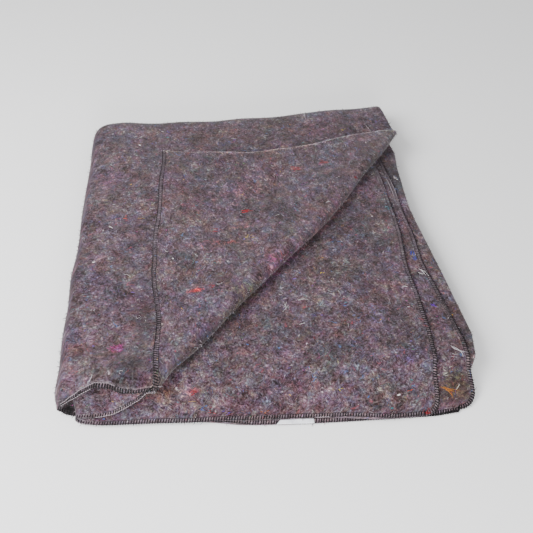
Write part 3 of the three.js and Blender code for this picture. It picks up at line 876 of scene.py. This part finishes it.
# Overlock stitches round the hem, in millimetres
overlock = {
    "pitch": 3.2,  # from bar to bar
    "width": [(3.9, 5.4), (4.1, 4.0), (4.94, 4.0), (5.02, 5.4)],  # of the stitched band, by column
    "barWide": 0.64,  # half of a bar's width, and half its height
    "barHigh": 0.38,
    # A bar's way over the hem, from its needle hole above to the one beneath: how far in, as a share of the
    # band, on which face, how high above the felt and how thick
    "barIn": [1, 0.72, 0.4, 0.05, -0.07, 0.05, 0.4, 0.72, 1],
    "barFace": [1, 1, 1, 1, 0, -1, -1, -1, -1],
    "barUp": [-0.1, 0.7, 0.9, 0.6, 0, 0.6, 0.9, 0.7, -0.1],
    "barThick": [0.6, 0.9, 1, 1.1, 1.1, 1.1, 1, 0.9, 0.6],
    "slant": 1.3,
    "dense": [(2.3, 2.92, 0.3), (4.0, 4.97, 0.35), (6.85, 7.0, 0.5)],  # here bars are wider by a share
    "bar": ["040304", "080708", "0f0d0e"],
    "chainDark": "1a1619",
    "chainPaleAndGlint": "a3979e",
    "edge": (0.4, 0.6, 0.36),  # the chain on the edge: how far in, its swing and half its thickness
    "needle": (-0.2, 0.3, 0.28),  # the chain on the needle line, measured from the band's inner side
    "wool": "4c4249",  # felt worked over the middle of the bars, from the front to the back
    "woolFrom": (-170, 0),
    "woolOver": [0, 0.6, 0.9, 0.5, 0, 0.5, 0.9, 0.6, 0],
    # Where a light thread shows along the edge or the needle line: first and last column, and which line
    "lightRuns": [(2.04, 2.19, "edge"), (4.93, 5.0, "edge"), (4.88, 5.0, "needle"), (0.31, 0.35, "edge")],
}


# The hem all round as column, run, and the change of both for a millimetre in from it, by distance along it
def traceHem():
    plyEnds = {third: (0, 1), fourth: (7, -1)}  # column of the side hem, and the way in from it

    def wideOf(i, run):
        start, end = endsOf(i, run)
        return np.abs(end - start)

    def sideHem(i, run):
        base, way = plyEnds[i]
        return [np.full_like(run, base), run, way / wideOf(i, run), np.zeros_like(run)]

    def corner(i, front, angle):
        base, way = plyEnds[i]
        radius = pile["frontCorner"] if front else pile["tuckedCorner"]
        edgeRun = hemRunAt(np.array([base + way * 1e-6]))[0] if front else 0
        inward = -1 if front else 1
        run = edgeRun + inward * radius * (1 - np.sin(angle))
        wide = wideOf(i, run)
        column = base + way * radius * (1 - np.cos(angle)) / wide
        return [column, run, way * np.cos(angle) / wide, inward * np.sin(angle)]

    def acrossHem(front, column):
        run = hemRunAt(column) if front else np.zeros_like(column)
        return [column, run, np.zeros_like(column), np.full_like(column, -1.0 if front else 1.0)]

    quarter = np.linspace(0, math.pi / 2, 24)
    sideEnds = [hemRunAt(np.array([column]))[0] - pile["frontCorner"] for column in (0.0, 7.0)]
    frontShare, tuckedShare = pile["frontCorner"] / 460, pile["tuckedCorner"] / 430
    legs = [
        sideHem(third, np.linspace(pile["tuckedCorner"], sideEnds[0], 500)),
        corner(third, True, quarter),
        acrossHem(True, np.linspace(frontShare, 7 - frontShare, 3000)),
        corner(fourth, True, quarter[::-1]),
        sideHem(fourth, np.linspace(sideEnds[1], pile["tuckedCorner"], 500)),
        corner(fourth, False, quarter),
        acrossHem(False, np.linspace(7 - tuckedShare, tuckedShare, 1500)),
        corner(third, False, quarter[::-1]),
    ]
    stations = np.concatenate([np.array(leg) for leg in legs], axis=1)
    column, run, perColumn, perRun = stations
    places = layCloth(column + perColumn * 3, run + perRun * 3, 0)
    steps = np.linalg.norm(np.diff(places, axis=0), axis=1) * 1000
    return np.concatenate([[0], np.cumsum(steps)]), stations


hemLength, hemStations = traceHem()


# Places at a distance along the hem, in from it, and up from the middle of the sheet
def onHem(along, inset, side):
    along, inset, side = np.broadcast_arrays(along, inset, side)
    stations = [np.interp(along.ravel() % hemLength[-1], hemLength, row) for row in hemStations]
    column, run, perColumn, perRun = stations
    flat = inset.ravel()
    return layCloth(column + perColumn * flat, run + perRun * flat, side.ravel()).reshape(along.shape + (3,))


def makeStitches():
    count = int(hemLength[-1] / overlock["pitch"])
    along = np.arange(count) * hemLength[-1] / count + seeds.uniform(-0.25, 0.25, count)
    column = np.interp(along, hemLength, hemStations[0])
    shares = np.array(overlock["barIn"]) * (1 + seeds.uniform(-0.06, 0.06, (count, 1)))
    insets = shares * lookUp(overlock["width"], column)[:, None]
    faces, high = np.array(overlock["barFace"]), overlock["barHigh"]
    sides = faces * (halfThickness(np.maximum(insets, 0)) + np.array(overlock["barUp"]) * high)
    lean = overlock["slant"] * shares * np.sign(faces + 0.1)
    paths = onHem(along[:, None] + lean, insets, sides)
    ahead = onHem(along[:, None] + lean + 0.8, insets, sides) - paths
    dense = sum(more * (column > start) * (column < end) for start, end, more in overlock["dense"])
    wide = overlock["barWide"] * (1 + dense)
    verts, polygons = strands(paths, wide / 1000, high / 1000, across=ahead, taper=overlock["barThick"])
    material = tintedMaterial("spun_polyester_thread", 0.6)  # dark, slightly shiny against the felt
    piece = newPiece("overlock_bars", verts, polygons, material)
    shades = shadesOf(overlock["bar"])[seeds.integers(0, 3, count)][:, None]
    first, last = overlock["woolFrom"]
    woolly = ease((paths[:, :, 1] * 1000 - first) / (last - first)) * overlock["woolOver"]
    woolly = (woolly * seeds.uniform(0.6, 1.1, (count, 1)))[..., None].clip(0, 1)
    shades = shades + (shadesOf([overlock["wool"]]) - shades) * woolly
    tint(piece, shades.reshape(-1, 3), 4)
    return piece, material


def makeChains(material):
    half = overlock["pitch"] / 2
    count = int(hemLength[-1] / half) // 2 * 2
    along = np.arange(count) * hemLength[-1] / count
    odd = np.arange(count) % 2
    # Painted glints: the dark chain is lightened here and there, standing for light caught on the thread
    glint = ripple(along * 0.9, along * 0.23, 0.7) + seeds.uniform(-0.35, 0.35, count)
    glint = np.clip(glint * 0.8 - 0.3, 0, 1)
    dark, light = shadesOf([overlock["chainDark"], overlock["chainPaleAndGlint"]])
    column = np.interp(along, hemLength, hemStations[0])
    fromHem = {"edge": 0, "needle": lookUp(overlock["width"], column)}
    parts, colours = [], []
    for face in (1, -1):
        for line in ("edge", "needle"):
            inset, swing, thick = overlock[line]
            lit = glint.copy()
            for start, end, where in overlock["lightRuns"]:
                if where == line:
                    lit = np.where((column > start) & (column < end), np.maximum(lit, 0.8 + 0.2 * odd), lit)
            insets = fromHem[line] + inset + swing * (odd - 0.5)
            path = onHem(along, insets, face * (halfThickness(np.maximum(insets, 0)) + thick * 0.8))
            parts.append(strands(path[None], thick / 1000, thick / 1000))
            colours.append(dark + (light - dark) * (lit**2)[:, None])
    verts = np.concatenate([part[0] for part in parts])
    starts = np.cumsum([0] + [len(part[0]) for part in parts])
    polygons = [[i + start for i in face] for part, start in zip(parts, starts) for face in part[1]]
    piece = newPiece("overlock_chains", verts, polygons, material)
    tint(piece, np.concatenate(colours), 4)
    return piece


barPiece, threadMaterial = makeStitches()
chainPiece = makeChains(threadMaterial)
print("overlock made:", len(barPiece.data.polygons) + len(chainPiece.data.polygons), "faces")

# The label, in millimetres: it lies over the front hem of the lowest ply
tape = {
    "x": 260,
    "width": 46,
    "slant": 5,
    "pastHem": 0.8,
    "pastThird": 0.5,  # its inner end is this far past the hem above it
    "thickness": 0.45,
    "lift": 2.1,  # of its middle above the middle of the ply
    "wave": 0.35,
    "upturn": 0.5,  # of its right end
    "cells": (26, 10),
    "rib": 0.5,
    "soil": ["c9c9d2", "e6e7ee", "f1f1f5"],
    "soilMarks": 90,  # in a metre
}


def makeLabel():
    material, tree, shader = newMaterial("woven_rayon_tape")  # smooth and white, with a fine cross rib
    place = addNode(tree, "UVMap", uv_map="flat")
    ribs = {"Vector": place, "Scale": 50 / tape["rib"], "Distortion": 0.4, "Detail": 1}  # 20 waves a unit
    rib = addNode(tree, "TexWave", ribs)
    bump = addNode(tree, "Bump", {"Height": rib.outputs["Fac"], "Strength": 0.35, "Distance": 0.0002})
    soil = addNode(tree, "TexNoise", {"Vector": place, "Scale": tape["soilMarks"], "Detail": 4})
    shade = addNode(tree, "ValToRGB", (soil,), ramp={"colours": tape["soil"], "span": (0.3, 0.75)})
    setInputs(shader, {"Base Color": shade, "Normal": bump, "Roughness": 0.5, "Sheen Weight": 0.2})
    across, down = tape["cells"]
    u, v = [grid.ravel() for grid in np.meshgrid(np.linspace(0, 1, across), np.linspace(0, 1, down))]
    x = tape["x"] + tape["width"] * u + tape["slant"] * (1 - u) * (1 - v)
    thirdEnd = frontRun + lookUp(frontHems["third"], x) + tape["pastThird"]
    fourthEnd = frontRun + lookUp(frontHems["fourth"], x) + tape["pastHem"]
    run = thirdEnd + (fourthEnd - thirdEnd) * v
    start, end = endsOf(fourth, run)
    column = fourth + (x - start) / (end - start)
    lift = tape["lift"] + (tape["wave"] * np.sin(u * 5 + 0.6) + tape["upturn"] * ease((u - 0.93) / 0.07)) * v
    rim = np.minimum(np.minimum(u, 1 - u) * tape["width"], np.minimum(v, 1 - v) * 11)
    half = tape["thickness"] / 2 * (0.35 + 0.65 * ease(rim / 0.9))
    verts = np.concatenate([layCloth(column, run, lift + half), layCloth(column, run, lift - half)])
    count = across * down
    grid = np.arange(count).reshape(down, across)
    quads = np.stack([grid[:-1, :-1], grid[:-1, 1:], grid[1:, 1:], grid[1:, :-1]], 2).reshape(-1, 4)
    border = np.concatenate([grid[0], grid[1:, -1], grid[-1, -2::-1], grid[-2:0:-1, 0]])
    ahead = np.roll(border, -1)
    walls = np.stack([ahead + count, border + count, border, ahead], 1)
    faces = np.concatenate([quads[:, ::-1], quads + count, walls]).tolist()
    piece = newPiece("woven_label", verts, faces, material)
    mapFlat(piece, np.stack([np.tile(x, 2), np.tile(run - frontRun, 2)], 1) / 1000)
    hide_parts("sewn_label")
    return piece


labelPiece = makeLabel()
print("label made")

# Nap and lint, in millimetres
nap = {
    "hairs": 12500,
    "long": (1.0, 3.4),
    "wide": 0.1,
    "rise": (0.15, 0.75),  # how upright a hair stands, as a share
    "sides": 6,  # on the sides of the pile they are this much denser
    "root": 0.3,  # depth in the felt
    "sideGrowth": 0.9,  # hairs on the sides are this much longer
    "shades": ["5a5058", "756b72", "8e848b", "484046", "6c545c", "58626c"],
}
# Short thick tufts, felted together by wear, most of them on the sides
pills = {
    **nap,
    "hairs": 4200,
    "long": (1.1, 2.8),
    "wide": 0.42,
    "rise": (0.35, 1),
    "sides": 150,
    "shades": felt["fibre"][1:] + nap["shades"],
}
lint = {
    "threads": 320,
    "long": (4, 15),
    "wide": (0.09, 0.2),
    "curl": 0.28,
    "shades": felt["lint"] + ["d9d4d6", "c9c2c6", "8f858b", "b7aeb3", "a39aa0", "d2ccd0"],
}
# Loose ends of thread: x, y, heading in degrees, spread, how many, length, colour
looseEnds = [
    (191, -279, 20, 4, 16, 7, "a8141c"), (196, -281, -80, 3, 3, 9, "8c8088"),
    (222, -254, -30, 1.7, 7, 21, "a8661f"), (220, -235, 10, 4, 7, 6, "d4cec4"),
    (231, -249, 60, 1, 2, 10, "d4cec4"), (238, -212, -35, 2, 3, 19, "c8c2c6"),
    (-186, -184, -40, 5, 10, 8, "a03478"), (-193, 38, 10, 2, 5, 4, "d4482c"),
    (-209, 20, -35, 2, 2, 11, "dcd6d8"), (-135, 214, 20, 2, 3, 4, "1f8c94"),
    (-182, 220, 40, 4, 4, 7, "d8d2d4"), (-16, 31, 0, 3, 8, 11, "a81c20"),
    (-60, -4, 5, 3, 5, 8, "8c2428"), (-15, -21, 20, 3, 4, 5, "c4ac3c"),
    (-20, 66, 50, 2, 2, 3, "c8a83c"), (157, 210, 0, 2, 3, 4, "c8b43c"),
    (85, -80, 20, 2, 3, 3, "d0b02c"), (154, 82, 10, 2, 4, 6, "8c2028"),
    (104, 33, 30, 2, 3, 5, "dcd6dc"), (216, -51, 80, 2, 6, 10, "1f38a8"),
    (216, -60, 95, 2, 4, 8, "1f38a8"), (-84, -256, 0, 2, 3, 6, "2450a0"),
    (-88, -108, 0, 3, 6, 6, "a4202f"), (51, -121, 15, 3, 3, 12, "d8d2d4"),
    (25, -131, 60, 4, 4, 12, "d8d2d4"), (47, -159, 20, 1, 1, 9, "dcd6d8"),
    (224, -86, -50, 3, 6, 10, "d8d4d4"), (191, -110, 20, 1, 3, 4, "e0dcdc"),
    (223, -142, -50, 1.2, 5, 8, "5c24a0"), (-55, -262, 10, 2, 4, 5, "5c30a0"),
    (-73, -262, 0, 2, 3, 4, "b82024"), (-10, -265, 10, 2, 3, 4, "c46c24"),
    (172, -252, 20, 2, 3, 4, "c04428"), (146, -270, 0, 2, 3, 4, "1f8c94"),
    (85, -246, 0, 2, 3, 3, "c8b43c"), (-96, -239, 10, 3, 6, 5, "981c28"),
    (67, 114, 10, 5, 7, 7, "8c242c"), (112, 128, 10, 4, 5, 6, "8c2228"),
    (15, -72, 30, 8, 6, 6, "98407c"), (-67, -107, 10, 2.5, 5, 6, "9c2434"),
]


# Places on the cloth's open faces, with their normals
def openPlaces(count, sides=0):
    mesh = clothPiece.data
    mesh.calc_loop_triangles()
    verts = np.array([v.co for v in mesh.vertices])
    corners = np.array([t.vertices for t in mesh.loop_triangles])
    a, b, c = [verts[corners[:, i]] for i in range(3)]
    normal = np.cross(b - a, c - a)
    area = np.linalg.norm(normal, axis=1)
    share = area * (1 + sides * (1 - np.abs(normal[:, 2]) / area))
    chosen = seeds.choice(len(area), size=count * 7, p=share / share.sum())
    u, v = seeds.uniform(0, 1, (2, len(chosen), 1))
    u, v = np.where(u + v > 1, 1 - u, u), np.where(u + v > 1, 1 - v, v)
    places = a[chosen] + (b - a)[chosen] * u + (c - a)[chosen] * v
    normals = normal[chosen] / area[chosen, None]
    places, normals = places[places[:, 2] > 0.001], normals[places[:, 2] > 0.001]
    clear = []
    for i, (place, out) in enumerate(zip(places, normals)):
        start = Vector(place + out * 0.0004)
        if clothTree.ray_cast(start, Vector(out), 0.012)[0] is None:
            clear.append(i)
            if len(clear) == count:
                break
    return places[clear], normals[clear]


# Any way that lies flat on the felt
def aroundOf(normals):
    spin = seeds.normal(size=normals.shape)
    flat = np.cross(normals, spin)
    return flat / np.linalg.norm(flat, axis=1, keepdims=True)


# Short hairs that stand and lean from the felt
def makeNap(name, hairs):
    places, normals = openPlaces(hairs["hairs"], hairs["sides"])
    count = len(places)
    aside, second = aroundOf(normals), aroundOf(normals)
    reach = seeds.uniform(*hairs["long"], (count, 1)) / 1000 * (1 + seeds.exponential(0.25, (count, 1)))
    reach = reach * (1 + hairs["sideGrowth"] * (1 - np.abs(normals[:, 2:])))
    rise = seeds.uniform(*hairs["rise"], (count, 1))[:, None]
    t = np.linspace(0, 1, 3)[None, :, None]
    out, aside, second = normals[:, None], aside[:, None], second[:, None]
    lean = out * rise * t + aside * (1 - rise) * t + second * 0.35 * t * t - out * 0.25 * rise * t * t
    paths = places[:, None] - out * hairs["root"] / 1000 + reach[:, None] * lean
    thick = hairs["wide"] / 1000
    verts, polygons = strands(paths, thick, thick, sides=3, taper=[1, 0.8, 0.3])
    piece = newPiece(name, verts, polygons, hairMaterial)
    colours = shadesOf(hairs["shades"])
    tint(piece, colours[seeds.integers(0, len(colours), count)], 9)
    return piece


# Loose threads lying on the felt
def layThreads(name, starts, heading, long, wide, colours, curl):
    count, steps = len(starts), 8
    paths = np.zeros((count, steps, 3))
    bend = seeds.normal(0, curl, count)
    for i, start in enumerate(starts):
        place, step = Vector(start), long[i] / steps / 1000
        for j in range(steps):
            near, normal, _, _ = clothTree.find_nearest(place)
            near.z = max(near.z, 0.0004)
            if normal.dot(Vector((0, -0.3, 1))) < -0.2:
                normal = -normal
            paths[i, j] = near + normal * (wide[i] / 1000 * 0.6 + 0.00025 * abs(math.sin(j * 2.1 + i)))
            heading[i] += bend[i] + seeds.normal(0, curl * 0.8)
            ahead = normal.cross(Vector((0, 1, 0.02))).cross(normal).normalized()
            place = near + (ahead.cross(normal) * math.cos(heading[i]) + ahead * math.sin(heading[i])) * step
    wide = wide / 1000
    verts, polygons = strands(paths, wide, wide * 0.8, sides=3, taper=[0.5, 1, 1, 1, 1, 1, 1, 0.4])
    piece = newPiece(name, verts, polygons, hairMaterial)
    tint(piece, colours, steps * 3)
    return piece


felted = clothPiece.data
clothTree = BVHTree.FromPolygons([v.co for v in felted.vertices], [p.vertices[:] for p in felted.polygons])
hairMaterial = tintedMaterial("loose_wool_fibre", 0.8, sheen=0.1)  # dull, with a faint edge of light
napPiece = makeNap("nap_hairs", nap)
pillPiece = makeNap("wool_pills", pills)


def layLint():
    starts, _ = openPlaces(lint["threads"])
    count, colours = len(starts), shadesOf(lint["shades"])
    return layThreads(
        "lint_threads", starts, seeds.uniform(0, 2 * math.pi, count), seeds.uniform(*lint["long"], count),
        seeds.uniform(*lint["wide"], count), colours[seeds.integers(0, len(colours), count)], lint["curl"],
    )


lintPiece = layLint()


def layLooseEnds():
    starts, heading, long, colours = [], [], [], []
    for x, y, degrees, spread, number, length, colour in looseEnds:
        for _ in range(number):
            turn, size = math.radians(degrees) + seeds.normal(0, 0.1), length * seeds.uniform(0.6, 1.2)
            startX = x + seeds.normal(0, spread) - math.cos(turn) * size / 2
            startY = y + seeds.normal(0, spread * 0.6) - math.sin(turn) * size / 2
            above = Vector((startX, startY, 150)) / 1000
            place = clothTree.ray_cast(above, Vector((0, 0, -1)))[0]
            if place is None:
                place = clothTree.find_nearest(Vector((above.x, above.y, 0.003)))[0]
            starts.append(place)
            heading.append(turn)
            long.append(size)
            colours.append(shadesOf([colour])[0] * seeds.uniform(0.7, 1.1))
    wide = seeds.uniform(0.16, 0.34, len(starts))
    return layThreads("loose_ends", starts, np.array(heading), long, wide, np.array(colours), 0.06)


loosePiece = layLooseEnds()
print("nap and lint made")
